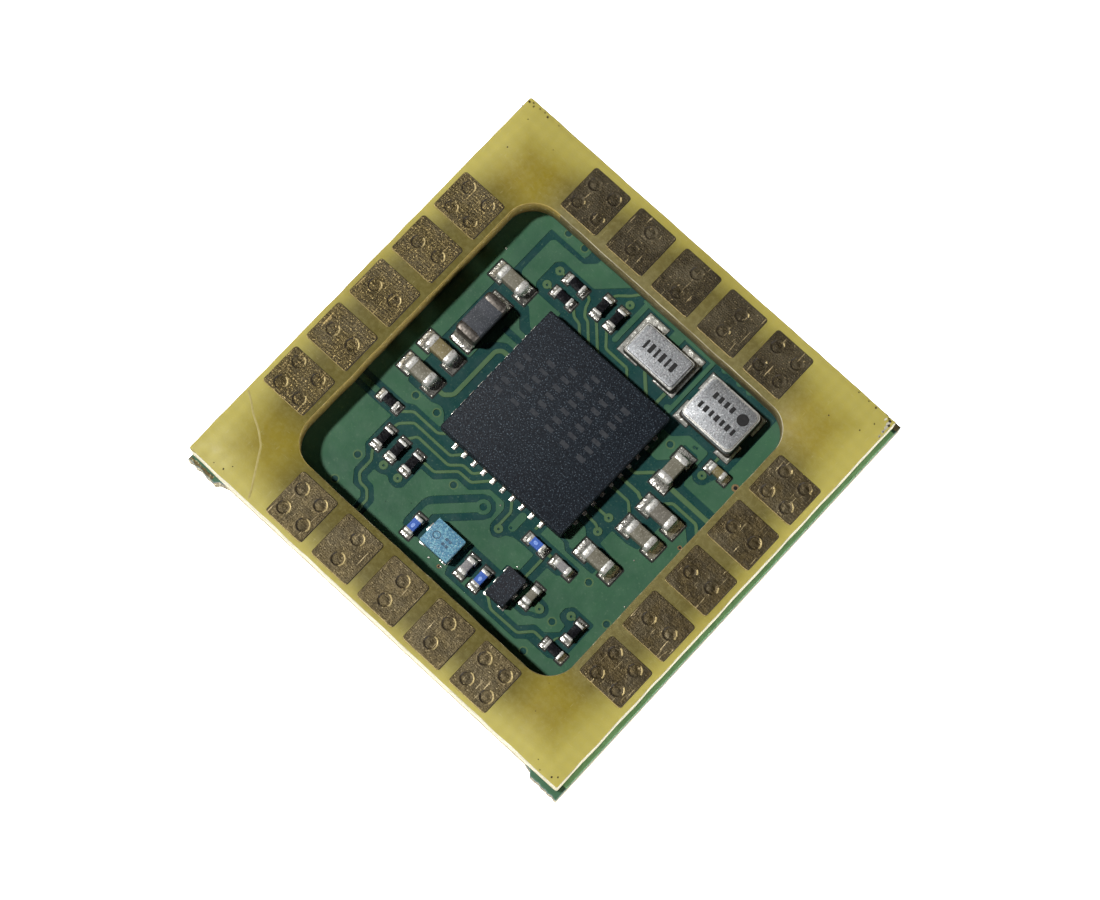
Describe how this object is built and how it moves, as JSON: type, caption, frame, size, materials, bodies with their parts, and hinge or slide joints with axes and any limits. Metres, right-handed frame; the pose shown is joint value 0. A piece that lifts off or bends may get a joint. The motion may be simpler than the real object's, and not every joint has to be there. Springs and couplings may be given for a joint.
{
  "type": "satellite receiver module",
  "caption": "Square surface-mount receiver module, land side up: a windowed laminate frame with solder lands on a green base board that carries a flat chip and small parts.",
  "frame": {"origin": "middle of the base board's underside", "axes": "+Z out of the lands, +Y along the edges between the corner tabs' sides (the longer way), +X across"},
  "size_m": [0.0154, 0.0158, 0.0018],
  "materials": {
    "board_mask": "satin green solder mask over glass laminate and copper",
    "bare_laminate": "bare olive-yellow glass-epoxy laminate",
    "land_metal": "tarnished plated copper with a woven imprint",
    "chip_mould": "grained dark mould compound",
    "copper": "bare copper",
    "silicon": "polished silicon",
    "package_ceramic": "unglazed dark ceramic",
    "package_lid": "brushed plated lid",
    "quartz": "clear polished quartz",
    "filter_cap": "speckled light blue resin",
    "capacitor_body": "fired grey-tan ceramic",
    "inductor_grey": "fired grey ferrite",
    "inductor_blue": "blue glazed body",
    "resistor_body": "black glass-coated body",
    "solder": "bright tin solder and plated chip ends"
  },
  "bodies": {
    "root": {"base_board": "board_mask", "window_frame": "bare_laminate", "land_01": "land_metal", "land_02": "land_metal", "land_03": "land_metal", "land_04": "land_metal", "land_05": "land_metal", "land_06": "land_metal", "land_07": "land_metal", "land_08": "land_metal", "land_09": "land_metal", "land_10": "land_metal", "land_11": "land_metal", "land_12": "land_metal", "land_13": "land_metal", "land_14": "land_metal", "land_15": "land_metal", "land_16": "land_metal", "land_17": "land_metal", "land_18": "land_metal", "land_19": "land_metal", "land_20": "land_metal", "receiver_mould": "chip_mould", "receiver_pad": "copper", "receiver_die": "silicon", "crystal_base": "package_ceramic", "crystal_blank": "quartz", "crystal_lid": "package_lid", "oscillator_base": "package_ceramic", "oscillator_chip": "silicon", "oscillator_blank": "quartz", "oscillator_lid": "package_lid", "filter_substrate": "package_ceramic", "filter_cap": "filter_cap", "amplifier": "chip_mould", "capacitor_01": "capacitor_body", "capacitor_02": "capacitor_body", "capacitor_03": "capacitor_body", "capacitor_04": "capacitor_body", "capacitor_05": "capacitor_body", "capacitor_06": "capacitor_body", "capacitor_07": "capacitor_body", "capacitor_08": "capacitor_body", "capacitor_09": "capacitor_body", "capacitor_10": "capacitor_body", "capacitor_11": "capacitor_body", "inductor_01": "inductor_grey", "inductor_02": "inductor_blue", "inductor_03": "inductor_blue", "inductor_04": "inductor_blue", "resistor_01": "resistor_body", "resistor_02": "resistor_body", "resistor_03": "resistor_body", "resistor_04": "resistor_body", "resistor_05": "resistor_body", "resistor_06": "resistor_body", "resistor_07": "resistor_body", "resistor_08": "resistor_body", "resistor_09": "resistor_body", "resistor_10": "resistor_body"}
  },
  "joints": []
}
